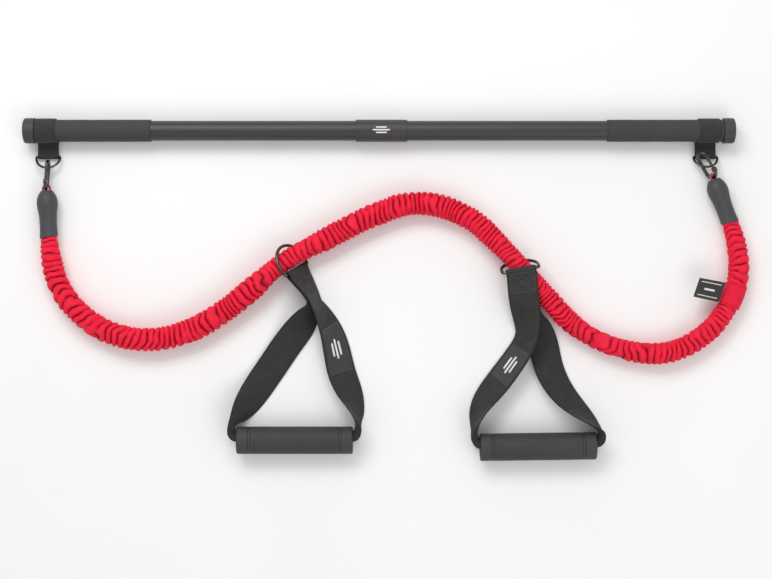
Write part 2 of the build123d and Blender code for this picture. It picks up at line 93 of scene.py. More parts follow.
# Share of the length, radius, depth of the folds and distance from fold to fold, the last three in mm
BAND_FULLNESS = [
    (0.00, 9.3, 0.6, 8.0),
    (0.012, 11.2, 1.3, 8.0),
    (0.03, 12.6, 2.1, 9.0),
    (0.06, 13.0, 2.3, 10.5),
    (0.11, 13.5, 2.5, 9.5),
    (0.20, 13.9, 2.7, 7.6),
    (0.30, 13.8, 2.6, 8.6),
    (0.325, 12.0, 1.1, 8.0),
    (0.37, 12.0, 1.1, 8.0),
    (0.39, 13.6, 2.4, 7.8),
    (0.50, 13.8, 2.7, 6.8),
    (0.58, 13.4, 2.4, 6.0),
    (0.61, 12.1, 1.0, 5.8),
    (0.65, 12.1, 1.0, 5.6),
    (0.68, 13.0, 2.1, 5.6),
    (0.715, 12.6, 1.6, 7.0),
    (0.73, 11.7, 1.4, 13.0),
    (0.77, 11.8, 1.7, 12.0),
    (0.79, 12.7, 2.0, 9.0),
    (0.85, 12.8, 2.1, 7.2),
    (0.895, 12.4, 1.4, 8.0),
    (0.91, 12.2, 0.8, 8.0),
    (0.94, 12.6, 1.8, 8.6),
    (0.97, 12.1, 1.6, 9.0),
    (0.988, 11.0, 1.2, 9.0),
    (1.00, 9.3, 0.6, 9.0),
]
# Reach of a fold over its crease and of a crease under the radius, as shares of the depth, and how much the
# radius wanders for each metre of depth
FOLD_RISE = 2.3
FOLD_SINK = 1.5
BAND_WANDER = 18.0
FLOOR_GAP = 0.3 * MM
CUFF_POINT = (0.4510, -0.0080)
CUFF_HALF_LENGTH = 14.0 * MM
CUFF_RADIUS = 14.0 * MM

# Webbing
WEBBING_WIDTH = 38.0
WEBBING_THICKNESS = 1.7
LAYER_OFFSET = 1.0
EYE_RADIUS = 3.2
SELVEDGE = (17.2 * MM, 18.0 * MM)
FLAT_CURL = 0.02
# Stations from the ring to the grip, in mm: X, Y, height of the lower edge, roll in degrees, curl in degrees
NECK = {
    "left": [
        (-91.4, 4.4, 2.0, 60.0, 8.0),
        (-83.8, -9.5, 1.0, 68.0, 8.0),
        (-80.6, -18.4, 1.0, 70.0, 8.0),
    ],
    "right": [
        (180.5, -0.6, 33.0, -4.0, 4.0),
        (183.7, -19.6, 24.0, -14.0, 8.0),
        (187.5, -36.1, 8.0, -30.0, 12.0),
    ],
}
LEG_LEFT = {
    "left": [
        (-88.9, -29.8, 1.0, 48.0, 12.0),
        (-100.3, -48.8, 1.0, 18.0, 10.0),
        (-115.5, -66.5, 1.0, 4.0, 6.0),
        (-132.5, -92.5, 1.0, 3.0, 4.0),
        (-149.7, -117.3, 1.0, 4.0, 8.0),
        (-164.9, -141.3, 1.0, 24.0, 24.0),
        (-178.0, -164.0, 1.0, 58.0, 60.0),
    ],
    "right": [
        (190.0, -57.7, 2.0, -48.0, 20.0),
        (181.1, -76.7, 1.0, -42.0, 16.0),
        (165.5, -98.4, 1.0, -38.0, 12.0),
        (149.5, -119.8, 1.0, -36.0, 12.0),
        (134.2, -138.8, 1.0, -44.0, 24.0),
        (125.0, -159.0, 1.0, -62.0, 60.0),
    ],
}
LEG_RIGHT = {
    "left": [
        (-74.9, -26.0, 1.0, 62.0, 12.0),
        (-60.3, -52.6, 1.0, 40.0, 10.0),
        (-53.4, -79.2, 1.0, 26.0, 8.0),
        (-48.3, -107.1, 1.0, 20.0, 8.0),
        (-38.8, -128.0, 1.0, 30.0, 20.0),
        (-31.8, -147.7, 1.0, 54.0, 40.0),
        (-28.0, -164.0, 1.0, 76.0, 75.0),
    ],
    "right": [
        (201.4, -48.8, 1.0, -16.0, 10.0),
        (210.3, -70.4, 1.0, -2.0, 6.0),
        (214.1, -95.7, 1.0, 8.0, 6.0),
        (224.2, -119.8, 1.0, 22.0, 10.0),
        (237.6, -138.8, 1.0, 36.0, 20.0),
        (256.0, -157.0, 1.0, 54.0, 40.0),
        (271.5, -171.0, 1.0, 74.0, 75.0),
    ],
}
# The box seam under the ring, in mm: its distance from the pinched eye, length and half width
BOX_SEAM = (5.0, 24.0, 15.5)
PATCH_SEAM_HALF = 14.5
PATCH_HALF_WIDTH = 15.8
TOP_LEG = {"left": 1, "right": -1}
EYE_PINCH = 9.0
PATCH_LEG = {"left": 1, "right": -1}
PATCH_SPAN = {"left": [(-63.0, -46.0), (-48.6, -107.0)], "right": [(181.5, -75.0), (152.0, -117.0)]}
# Printed stripes on a patch: distance off its middle line and half length, in mm
PATCH_MARKS = [(-5.0, 9.0), (0.0, 13.0), (5.0, 9.0)]
# From the leg into the grip: distance past the grip's end and toward the hand in mm, and curl in degrees
GRIP_ENTRY = [
    (6.0, 19.0, 70.0),
    (5.5, 12.0, 110.0),
    (3.5, 8.5, 150.0),
    (0.5, 6.6, 185.0),
    (-5.0, 6.5, 195.0),
    (-25.0, 6.5, 195.0),
    (-72.5, 6.5, 195.0),
]

# Grips
GRIP_LENGTH = 147.0
GRIP_RADIUS = 17.35
GRIP_BORE = 14.0
GRIP_GROOVES = (14.5, 17.8)
GRIP_CELL = 4.6
GRIP_RELIEF = 0.38

# Webbing loops on the bar: Y and Z in mm of the strip's middle, beside the bar and at the eye
ANCHOR_WEBBING_WIDTH = 26.0
ANCHOR_LOOP_RADIUS = 15.1
ANCHOR_EYE_RADIUS = 2.6
# Where a loop's turn round the bar starts and ends, in degrees
ANCHOR_TURN = (-80.0, 220.0)
# How far the top of a loop sits along the bar from its tab, in mm
ANCHOR_SKEW = {"left": -0.8, "right": 2.8}
ANCHOR_UNDER = [(180.0, 3.2), (185.0, 2.6), (191.0, 1.5), (197.0, 1.0)]
ANCHOR_OVER = [(186.5, 5.6), (180.5, 4.8), (175.5, 5.0), (172.0, 6.4)]
ANCHOR_BACK = [(172.0, 1.7), (175.5, 3.0), (179.9, 3.2)]
ANCHOR_SEAMS = [(184.5, 6.0), (176.2, 5.7)]
ANCHOR_SEAM_HALF = 11.5

# Boots: where their axes start and end in m, distance along and radius in mm of the outside, of the mouth (past
# the end) and of the neck, and the slant of the end cut: its half depth in mm and where it is deepest
BOOT_TOP = {"left": (-0.4222, 0.1255, 0.0135), "right": (0.4246, 0.1398, 0.0135)}
BOOT_BOTTOM = {"left": (-0.4193, 0.0685, 0.0135), "right": (0.4448, 0.0865, 0.0135)}
BOOT_OUTLINE = [
    (0.0, 6.9),
    (1.2, 8.1),
    (3.5, 9.8),
    (8.0, 12.2),
    (13.5, 13.4),
    (19.0, 13.2),
    (24.0, 12.2),
    (30.0, 11.3),
    (38.0, 10.7),
    (46.0, 10.8),
    (57.2, 11.2),
]
BOOT_MOUTH = [(0.4, 10.0), (-2.0, 9.7), (-16.0, 9.0)]
BOOT_NECK = [(6.0, 6.6), (0.3, 6.4)]
BOOT_SLANT = {"left": (1.7, 0.0), "right": (1.7, math.pi)}

# Plain stripes on the collar: distance off the top and half length in mm, and the half width of each
COLLAR_MARKS = [(-3.4, 7.0), (0.0, 11.0), (3.4, 7.0)]
COLLAR_MARK_WIDTH = 0.9
PATCH_MARK_WIDTH = 1.3

# Tag: corners and height in mm, its cloth in m, its half thickness in mm, and its stripes as shares of the tag:
# start, end, place across and half width
TAG_CORNERS = [(404.5, 15.0), (437.0, 8.5), (428.0, -16.0), (396.5, -9.0)]
TAG_HEIGHT = 27.9
TAG_CLOTH = (0.033, 0.026)
TAG_HALF_THICKNESS = 0.45
TAG_STRIPES = [(0.12, 0.88, 0.16, 0.02), (0.12, 0.88, 0.84, 0.02), (0.3, 0.7, 0.5, 0.05)]


def norm(vectors):
    """Vectors at length 1."""
    return vectors / np.linalg.norm(vectors, axis=-1, keepdims=True)


def noise(points, seed=0):
    """Smooth repeatable noise, about -1 to 1, with one feature for each unit of distance."""
    cell = np.floor(points).astype(np.int64)
    part = points - cell
    fade = part**3 * (part * (part * 6 - 15) + 10)
    total = np.zeros(points.shape[:-1])
    for corner in itertools.product((0, 1), repeat=3):
        at = cell + np.array(corner)
        key = (at[..., 0] * 73856093) ^ (at[..., 1] * 19349663) ^ (at[..., 2] * 83492791) ^ (seed * 97531)
        key = (key ^ (key >> 13)) * 1274126177 & 0x7FFFFFFF
        key ^= key >> 11
        gradient = np.stack([(key >> shift & 255) / 127.5 - 1 for shift in (0, 8, 16)], -1)
        weight = np.prod(np.where(np.array(corner), fade, 1 - fade), -1)
        total += weight * np.sum(gradient * (part - np.array(corner)), -1)
    return total * 1.5


def grid_object(name, points, wrap_rows=False, wrap_columns=True, uv=None, marks=None):
    """An object over a grid of points, rows x columns x 3, with UVs and named numbers for its points."""
    index = np.arange(points.shape[0] * points.shape[1]).reshape(points.shape[:2])
    rows = (index, np.roll(index, -1, 0)) if wrap_rows else (index[:-1], index[1:])
    quads = []
    for row in rows:
        quads.append((row, np.roll(row, -1, 1)) if wrap_columns else (row[:, :-1], row[:, 1:]))
    (a, b), (d, c) = quads
    faces = np.stack([a, b, c, d], -1).reshape(-1, 4)
    mesh = bpy.data.meshes.new(name)
    mesh.from_pydata(points.reshape(-1, 3).tolist(), [], faces.tolist())
    if not wrap_rows and wrap_columns:
        close_ends(mesh, index)
    if uv is not None:
        layer = mesh.uv_layers.new(name="UVMap")
        corners = np.zeros(len(mesh.loops), np.int64)
        mesh.loops.foreach_get("vertex_index", corners)
        layer.data.foreach_set("uv", uv.reshape(-1, 2)[corners].ravel())
    for mark, values in (marks or {}).items():
        attribute = mesh.attributes.new(mark, "FLOAT", "POINT")
        attribute.data.foreach_set("value", values.ravel().astype(np.float32))
    return mesh_object(name, mesh)


def close_ends(mesh, index):
    """Puts a face across each open end of a grid that is closed round its columns."""
    caps = [index[0][::-1].tolist(), index[-1].tolist()]
    points = [vertex.co[:] for vertex in mesh.vertices]
    faces = [polygon.vertices[:] for polygon in mesh.polygons] + caps
    mesh.clear_geometry()
    mesh.from_pydata(points, [], faces)


def mesh_object(name, mesh):
    """Links a mesh to the scene, smooth shaded, as one object."""
    mesh.validate()
    mesh.polygons.foreach_set("use_smooth", [True] * len(mesh.polygons))
    mesh.update()
    piece = bpy.data.objects.new(name, mesh)
    bpy.context.scene.collection.objects.link(piece)
    return piece


def finish_piece(piece, body, material, slot, *nodes):
    """Gives a piece its material, its body and the CAD nodes it stands for."""
    piece.data.materials.append(material)
    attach(piece, body)
    if nodes:
        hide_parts(*nodes)
    return piece


def nurbs_line(points, resolution):
    """Points along the smooth line that a NURBS spline makes of its control points."""
    curve = bpy.data.curves.new("line", "CURVE")
    curve.dimensions = "3D"
    curve.resolution_u = resolution
    spline = curve.splines.new("NURBS")
    spline.points.add(len(points) - 1)
    for control, place in zip(spline.points, points):
        control.co = (*place, 1.0)
    spline.order_u = 3
    spline.use_endpoint_u = True
    holder = bpy.data.objects.new("line", curve)
    bpy.context.scene.collection.objects.link(holder)
    bpy.context.view_layer.update()
    mesh = bpy.data.meshes.new_from_object(holder.evaluated_get(bpy.context.evaluated_depsgraph_get()))
    line = np.array([vertex.co[:] for vertex in mesh.vertices])
    bpy.data.objects.remove(holder)
    bpy.data.curves.remove(curve)
    bpy.data.meshes.remove(mesh)
    return line


def even_steps(line, step):
    """The line at even steps of its own length, and the distance along it of each point."""
    along = np.concatenate([[0], np.cumsum(np.linalg.norm(np.diff(line, axis=0), axis=1))])
    count = max(int(round(along[-1] / step)), 2)
    at = np.linspace(0, along[-1], count + 1)
    return np.stack([np.interp(at, along, line[:, axis]) for axis in range(3)], -1), at


def spline_rows(rows, spans):
    """A uniform cubic B-spline through rows of numbers, with its ends on the first and last row."""
    rows = np.concatenate([rows[:1], rows[:1], rows, rows[-1:], rows[-1:]])
    t = np.linspace(0, 1, spans, endpoint=False)[:, None]
    weights = [(1 - t) ** 3, 3 * t**3 - 6 * t**2 + 4, -3 * t**3 + 3 * t**2 + 3 * t + 1, t**3]
    out = []
    for start in range(len(rows) - 3):
        out.append(sum(weight * rows[start + k] for k, weight in enumerate(weights)) / 6)
    return np.concatenate(out + [rows[-1:]])


# ---- materials


def new_material(name, color, roughness, **sockets):
    """A node material with its uniform values set on the shader, its node tree and its shader."""
    material = bpy.data.materials.new(name)
    material.use_nodes = True
    tree = material.node_tree
    shader = tree.nodes["Principled BSDF"]
    shader.inputs["Base Color"].default_value = (*color, 1.0)
    shader.inputs["Roughness"].default_value = roughness
    for socket, value in sockets.items():
        shader.inputs[socket.replace("_", " ")].default_value = value
    return material, tree, shader


def add_node(tree, kind, inputs=None, **settings):
    """A node with its settings, and its inputs set to values or linked to other nodes' outputs."""
    node = tree.nodes.new(kind)
    for key, value in settings.items():
        setattr(node, key, value)
    for key, value in (inputs or {}).items():
        if isinstance(value, bpy.types.NodeSocket):
            tree.links.new(value, node.inputs[key])
        else:
            node.inputs[key].default_value = value
    return node


def coordinates(tree, source, turn=0.0):
    """Texture coordinates, turned in their own plane."""
    place = add_node(tree, "ShaderNodeTexCoord").outputs[source]
    return add_node(tree, "ShaderNodeMapping", {"Vector": place, "Rotation": (0, 0, turn)}).outputs["Vector"]


def speckle(tree, scale, detail):
    """Noise over the surface."""
    vector = coordinates(tree, "Object")
    node = add_node(tree, "ShaderNodeTexNoise", {"Vector": vector, "Scale": scale, "Detail": detail})
    return node.outputs["Fac"]


def ramp(tree, factor, stops):
    """A colour ramp: stops are (position, (r, g, b))."""
    node = add_node(tree, "ShaderNodeValToRGB", {"Fac": factor})
    elements = node.color_ramp.elements
    while len(elements) < len(stops):
        elements.new(0.5)
    for element, (position, color) in zip(elements, stops):
        element.position = position
        element.color = (*color, 1.0)
    return node.outputs["Color"]


def tint(tree, shader, factor, stops):
    """Colours a shader by a ramp."""
    tree.links.new(ramp(tree, factor, stops), shader.inputs["Base Color"])


def point_number(tree, name):
    """A number kept on the mesh's points."""
    return add_node(tree, "ShaderNodeAttribute", attribute_name=name).outputs["Fac"]


def scaled(tree, value, low, high):
    """A 0 to 1 value moved to the range low to high."""
    node = add_node(tree, "ShaderNodeMapRange", {"Value": value, "To Min": low, "To Max": high})
    return node.outputs["Result"]


def blend(tree, first, share, second, other_share):
    """Two values, each times its share, added."""
    first = maths(tree, "MULTIPLY", first, share)
    return maths(tree, "ADD", first, maths(tree, "MULTIPLY", second, other_share))


def maths(tree, operation, first, second=0.0):
    """One sum on two values."""
    return add_node(tree, "ShaderNodeMath", {0: first, 1: second}, operation=operation).outputs["Value"]


def bump(tree, shader, height, distance, strength=1.0, after=None):
    """Fine relief from a height, in metres."""
    inputs = {"Height": height, "Distance": distance, "Strength": strength}
    if after is not None:
        inputs["Normal"] = after
    node = add_node(tree, "ShaderNodeBump", inputs)
    tree.links.new(node.outputs["Normal"], shader.inputs["Normal"])
    return node.outputs["Normal"]


def wave(tree, vector, scale, distortion, detail_scale):
    """Even ridges, slightly wavy."""
    inputs = {"Vector": vector, "Scale": scale, "Distortion": distortion, "Detail": 1.0}
    inputs["Detail Scale"] = detail_scale
    return add_node(tree, "ShaderNodeTexWave", inputs, wave_profile="SIN").outputs["Fac"]


def weave(tree, pitch, source="UV", turn=0.0):
    """Two crossed sets of threads, as a height."""
    threads = []
    for angle in (turn, turn + math.pi / 2):
        vector = coordinates(tree, source, angle)
        threads.append(wave(tree, vector, 2 / (math.tau * pitch), 0.6, 3.0))
    return maths(tree, "MULTIPLY", *threads)


def red_fabric(name="band_fabric", folds=True):
    """Gathered polyester: bright red lobes, painted shade down into the creases, fine threads and a soft sheen.
    """
    material, tree, shader = new_material(
        name, (0.86, 0.01, 0.045), 0.7, Sheen_Weight=0.05, Sheen_Roughness=0.4, Specular_IOR_Level=0.2
    )
    shader.inputs["Sheen Tint"].default_value = (1.0, 0.35, 0.4, 1.0)
    mottled = speckle(tree, 220, 5)
    if folds:
        # Painted shade: the fold height darkens the red from the crests down to near black in the creases.
        crease = (0.03, 0.001, 0.003)
        slope = (0.20, 0.002, 0.008)
        lobe = (0.72, 0.006, 0.034)
        crest = (0.93, 0.020, 0.060)
        mixed = blend(tree, point_number(tree, "fold"), 0.86, mottled, 0.2)
        tint(tree, shader, mixed, [(0.0, crease), (0.35, slope), (0.6, lobe), (1.0, crest)])
    else:
        tint(tree, shader, mottled, [(0.2, (0.68, 0.006, 0.035)), (0.8, (0.84, 0.014, 0.055))])
    fine = bump(tree, shader, speckle(tree, 2600, 2), 0.25 * MM, 0.6)
    bump(tree, shader, mottled, 0.5 * MM, 0.5, fine)
    return material


def webbing_material():
    """Black nylon webbing: ribs across it, painted shade in their grooves, a plainer selvedge at each side, and
    a little dust.
    """
    material, tree, shader = new_material(
        "webbing", (0.03, 0.03, 0.031), 0.72, Sheen_Weight=0.06, Sheen_Roughness=0.5
    )
    across = add_node(tree, "ShaderNodeSeparateXYZ", {"Vector": coordinates(tree, "UV")}).outputs["X"]
    ribs = wave(tree, coordinates(tree, "UV", 1.45), 125.0, 0.5, 2.0)
    threads = weave(tree, 0.9 * MM)
    selvedge = add_node(
        tree,
        "ShaderNodeMapRange",
        {"Value": maths(tree, "ABSOLUTE", across), "From Min": SELVEDGE[0], "From Max": SELVEDGE[1]},
        interpolation_type="SMOOTHSTEP",
    ).outputs["Result"]
    body_height = blend(tree, ribs, 0.75, threads, 0.25)
    height = blend(tree, body_height, maths(tree, "SUBTRACT", 1.0, selvedge), threads, selvedge)
    # Painted shade: the weave's relief height darkens the colour in its grooves; the noise is a little dust.
    shade = blend(tree, height, 0.6, speckle(tree, 90, 5), 0.4)
    shade = maths(tree, "SUBTRACT", shade, maths(tree, "MULTIPLY", selvedge, 0.22))
    tint(tree, shader, shade, [(0.2, (0.004, 0.004, 0.004)), (0.8, (0.038, 0.038, 0.036))])
    bump(tree, shader, height, 0.45 * MM, 0.9)
    return material


def soft_matte(name, dark, light, roughness, grain, relief, sunk=False, **sockets):
    """Foam, rubber or plastic: two near shades, a fine grain, slight cloudiness, and painted shade in recesses.
    """
    material, tree, shader = new_material(name, light, roughness, **sockets)
    cloud = speckle(tree, 26, 5)
    fine = speckle(tree, grain, 3)
    mixed = blend(tree, cloud, 0.6, fine, 0.4)
    if sunk:
        # Painted shade: the colour is darkened where the 'fold' mark says the surface sinks.
        mixed = maths(tree, "ADD", blend(tree, mixed, 1.0, point_number(tree, "fold"), -0.55), 0.12)
    tint(tree, shader, mixed, [(0.15, dark), (0.75, light)])
    tree.links.new(scaled(tree, cloud, roughness - 0.07, roughness + 0.07), shader.inputs["Roughness"])
    bump(tree, shader, fine, relief * MM, 0.5)
    return material


def gunmetal():
    """Dark plated wire with painted brown glints and drawing marks."""
    material, tree, shader = new_material("gunmetal", (0.16, 0.15, 0.14), 0.32, Metallic=1.0)
    wear_and_painted_glints = speckle(tree, 130, 6)
    # Painted glints: brighter brown patches in the plating's colour, with the roughness following the same
    # noise.
    plating_and_painted_glints = [(0.3, (0.055, 0.053, 0.052)), (0.55, (0.11, 0.105, 0.10)), (0.72, (0.22, 0.17, 0.12))]
    tint(tree, shader, wear_and_painted_glints, plating_and_painted_glints)
    tree.links.new(scaled(tree, wear_and_painted_glints, 0.22, 0.46), shader.inputs["Roughness"])
    bump(tree, shader, speckle(tree, 1500, 3), 0.05 * MM, 0.4)
    return material


def braided_cord():
    """The thin red loop cord: a tight braid, with painted shade in its hollows."""
    material, tree, shader = new_material("braided_cord", (0.62, 0.02, 0.05), 0.6, Sheen_Weight=0.3)
    braid = weave(tree, 0.9 * MM, "Object", 0.7)
    # Painted shade: the braid's height darkens the red in its hollows.
    tint(tree, shader, braid, [(0.0, (0.30, 0.006, 0.02)), (0.8, (0.80, 0.03, 0.07))])
    bump(tree, shader, braid, 0.3 * MM, 0.8)
    return material


def woven_label():
    """Black satin with fine woven threads and painted shade between them."""
    material, tree, shader = new_material("woven_label", (0.02, 0.02, 0.022), 0.5, Sheen_Weight=0.2)
    threads = weave(tree, 0.35 * MM)
    # Painted shade: the weave's height darkens the black between the threads.
    tint(tree, shader, threads, [(0.0, (0.008, 0.008, 0.009)), (1.0, (0.035, 0.035, 0.038))])
    bump(tree, shader, threads, 0.12 * MM, 0.6)
    return material


def painted_mark():
    """Off-white print, slightly worn."""
    material, tree, shader = new_material("painted_mark", (0.80, 0.80, 0.78), 0.55)
    wear_and_painted_glints = speckle(tree, 1200, 4)
    tint(tree, shader, wear_and_painted_glints, [(0.3, (0.62, 0.62, 0.61)), (0.7, (0.86, 0.86, 0.84))])
    bump(tree, shader, wear_and_painted_glints, 0.05 * MM, 0.4)
    return material


def thread_material():
    """Dark sewing thread with its twist."""
    material, tree, shader = new_material("thread", (0.05, 0.05, 0.052), 0.55, Sheen_Weight=0.3)
    twist = speckle(tree, 1800, 3)
    tint(tree, shader, twist, [(0.3, (0.022, 0.022, 0.024)), (0.7, (0.085, 0.085, 0.088))])
    bump(tree, shader, twist, 0.15 * MM, 0.7)
    return material


MATERIALS = {
    "band": red_fabric(),
    "cuff": red_fabric("cuff_fabric", folds=False),
    "webbing": webbing_material(),
    "thread": thread_material(),
    "patch": soft_matte(
        "patch_satin", (0.016, 0.016, 0.018), (0.034, 0.034, 0.037), 0.5, 1500, 0.1, Sheen_Weight=0.2
    ),
    "metal": gunmetal(),
    "cord": braided_cord(),
    "label": woven_label(),
    "mark": painted_mark(),
    "boot": soft_matte("boot_rubber", (0.036, 0.036, 0.040), (0.062, 0.062, 0.068), 0.55, 700, 0.25),
    # The grip's foam gets painted shade in its sunk honeycomb lines and grooves.
    "grip": soft_matte("grip_foam", (0.015, 0.015, 0.017), (0.048, 0.048, 0.052), 0.66, 1100, 0.2, sunk=True),
    "bar": soft_matte("bar_coating", (0.024, 0.024, 0.026), (0.037, 0.037, 0.040), 0.46, 1400, 0.06),
    "foam": soft_matte("bar_foam", (0.025, 0.025, 0.028), (0.044, 0.044, 0.048), 0.72, 1000, 0.22),
    "cap": soft_matte("cap_rubber", (0.030, 0.030, 0.033), (0.050, 0.050, 0.054), 0.6, 800, 0.18),
    "collar": soft_matte("collar_plastic", (0.025, 0.025, 0.028), (0.040, 0.040, 0.043), 0.5, 900, 0.1),
    "plug": soft_matte("dark_plastic", (0.020, 0.020, 0.022), (0.040, 0.040, 0.044), 0.5, 700, 0.1),
    "latex": soft_matte("latex", (0.62, 0.50, 0.28), (0.80, 0.68, 0.42), 0.4, 500, 0.1),
    "steel": soft_matte(
        "turned_steel", (0.42, 0.42, 0.43), (0.60, 0.60, 0.61), 0.3, 1500, 0.05, Metallic=1.0
    ),
}
CAD_MATERIALS = {
    "hook_body": "metal", "hook_gate": "metal", "gate_pin": "metal", "anchor_ring": "metal",
    "handle_ring": "metal", "end_loop": "cord", "end_plug": "plug", "grip_liner": "plug",
    "latex_core": "latex", "bar_coupler": "steel", "bar_tube": "bar", "centre_collar": "collar",
    "end_cap": "cap", "foam_sleeve": "foam", "boot": "boot",
    "grip": "grip", "anchor_strap": "webbing", "handle_strap": "webbing", "strap_patch": "patch",
    "band_sleeve": "cuff", "sleeve_cuff": "cuff", "label_tag": "label",
}


def paint_cad_nodes():
    """Gives each CAD node that shows its material."""
    for node, piece in frame["nodes"].items():
        plain = node.replace("_left", "").replace("_right", "")
        piece.data.materials.clear()
        piece.data.materials.append(MATERIALS[CAD_MATERIALS[plain]])


# ---- camera, floor and light


def make_camera():
    """The camera straight above the set."""
    data = bpy.data.cameras.new("camera")
    data.sensor_width = SENSOR
    data.lens = SENSOR * (CAMERA_HEIGHT - VIEW_LEVEL) / VIEW_WIDTH
    camera = bpy.data.objects.new("camera", data)
    bpy.context.scene.collection.objects.link(camera)
    camera.location = (*CAMERA_CENTRE, CAMERA_HEIGHT)
    bpy.context.scene.camera = camera


def area_light(name, place, size, power, aim=(0, 0, 0)):
    """A soft rectangular light that faces a point."""
    data = bpy.data.lights.new(name, "AREA")
    data.shape = "RECTANGLE"
    data.size, data.size_y = size
    data.energy = power
    light = bpy.data.objects.new(name, data)
    bpy.context.scene.collection.objects.link(light)
    light.location = place
    direction = Vector(aim) - Vector(place)
    light.rotation_mode = "QUATERNION"
    light.rotation_quaternion = direction.to_track_quat("-Z", "Y")


def make_studio():
    """A pale floor, a white world and two soft lights."""
    half = FLOOR_HALF
    corners = [(-half, -half, 0), (half, -half, 0), (half, half, 0), (-half, half, 0)]
    mesh = bpy.data.meshes.new("floor")
    mesh.from_pydata(corners, [], [(0, 1, 2, 3)])
    floor = mesh_object("floor", mesh)
    material, tree, shader = new_material("floor", (0.90, 0.90, 0.90), 0.8)
    tint(tree, shader, speckle(tree, 3, 3), [(0.3, (0.89, 0.89, 0.89)), (0.7, (0.92, 0.92, 0.92))])
    mesh.materials.append(material)
    world = bpy.data.worlds.new("world")
    bpy.context.scene.world = world
    world.use_nodes = True
    world.node_tree.nodes["Background"].inputs["Color"].default_value = (1.0, 1.0, 1.0, 1.0)
    world.node_tree.nodes["Background"].inputs["Strength"].default_value = WORLD_STRENGTH
    bpy.context.scene.view_settings.view_transform = "Standard"
    area_light("key", (-0.5, 1.4, 1.7), (1.6, 0.8), 24.0)
    area_light("fill", (0.9, -1.3, 1.6), (1.4, 1.0), 8.0)


# ---- band


def line_frames(line):
    """Unit tangents, level side directions and upward directions along a line."""
    tangent = norm(np.gradient(line, axis=0))
    side = norm(np.cross(tangent, UP))
    return tangent, side, np.cross(side, tangent)


def tube_place(along, angle, turn):
    """Places for noise over a tube: its distance along, and its angle on a circle of radius turn."""
    return np.stack(np.broadcast_arrays(along[:, None], np.cos(angle) * turn, np.sin(angle) * turn), -1)


def tube_points(line, side, up, reach, angle):
    """Points round a line, each at its reach from the line."""
    level = side[:, None, :] * (reach * np.cos(angle))[..., None]
    return line[:, None, :] + level + up[:, None, :] * (reach * np.sin(angle))[..., None]


def fold_height(along, folds, angle, inner):
    """How far the gathered cloth stands out, from 0 in a crease to 1 on a lobe."""
    around = np.stack([np.cos(angle), np.sin(angle)], -1)
    shape = np.broadcast(along, angle).shape

    def field(step, turn, seed):
        """Noise that varies over a distance along the band and turns slowly round it."""
        place = np.empty(shape + (3,))
        place[..., 0] = along / step
        place[..., 1:] = around * turn
        return noise(place, seed)

    # Folds wander along the band and lean one way, and narrower ones take over on the inside of bends
    drift = field(26 * MM, 0.55, 1) + 0.11 * field(8 * MM, 1.5, 2)
    phase = folds + drift
    lean = phase - np.floor(phase)
    broad = np.abs(np.sin(math.pi * phase)) ** 0.5 * (0.76 + 0.24 * lean)
    narrow = np.abs(np.sin(math.pi * (1.9 * phase + 0.5 * field(6 * MM, 1.6, 3)))) ** 0.6
    merge = np.clip(1.05 + 0.95 * field(10 * MM, 0.9, 4), 0.35, 1.0)
    share = np.clip(0.70 * inner + 0.50 * field(24 * MM, 0.9, 5) - 0.08, 0.0, 0.9)
    height = (1 - share) * broad + share * (0.30 + 0.60 * narrow)
    return 1 - (1 - height) * merge


def make_band():
    """The gathered fabric tube along its route."""
    line = nurbs_line(BAND_ROUTE, 48)
    line, along = even_steps(line, BAND_STEP)
    tangent, side, up = line_frames(line)
    share = along / along[-1]
    stations = np.array(BAND_FULLNESS)
    radius = np.interp(share, stations[:, 0], stations[:, 1]) * MM
    depth = np.interp(share, stations[:, 0], stations[:, 2]) * MM
    folds = np.cumsum(along[1] / MM / np.interp(share, stations[:, 0], stations[:, 3]))
    angle = np.linspace(0, 2 * math.pi, BAND_COLUMNS, endpoint=False)[None, :]
    bend = np.gradient(tangent, axis=0) / np.gradient(along)[:, None]
    toward = np.sum(bend * side, axis=1)[:, None]
    inner = np.clip(toward * np.cos(angle) * 0.11, 0, 1)
    height = fold_height(along[:, None], folds[:, None], angle, inner)
    swell = 1 + depth[:, None] * BAND_WANDER * noise(tube_place(along / (26 * MM), angle, 0.6), 9)
    reach = radius[:, None] * swell + depth[:, None] * (height * FOLD_RISE - FOLD_SINK)
    points = tube_points(line, side, up, reach, angle)
    points[..., 2] = rest_on_floor(points[..., 2])
    # The fold height is kept on the points as the 'fold' mark, from which the band's material paints shade into
    # the creases.
    band = grid_object("band_cover", points, marks={"fold": height})
    finish_piece(band, "band", MATERIALS["band"], "red_fabric", "band_sleeve")
    return band, line, along


def rest_on_floor(height):
    """Heights pressed up softly where they would go into the floor."""
    soft = 0.8 * MM
    lifted = height - FLOOR_GAP
    return FLOOR_GAP + np.where(lifted > soft, lifted, soft * np.exp(np.minimum(lifted / soft, 1) - 1))


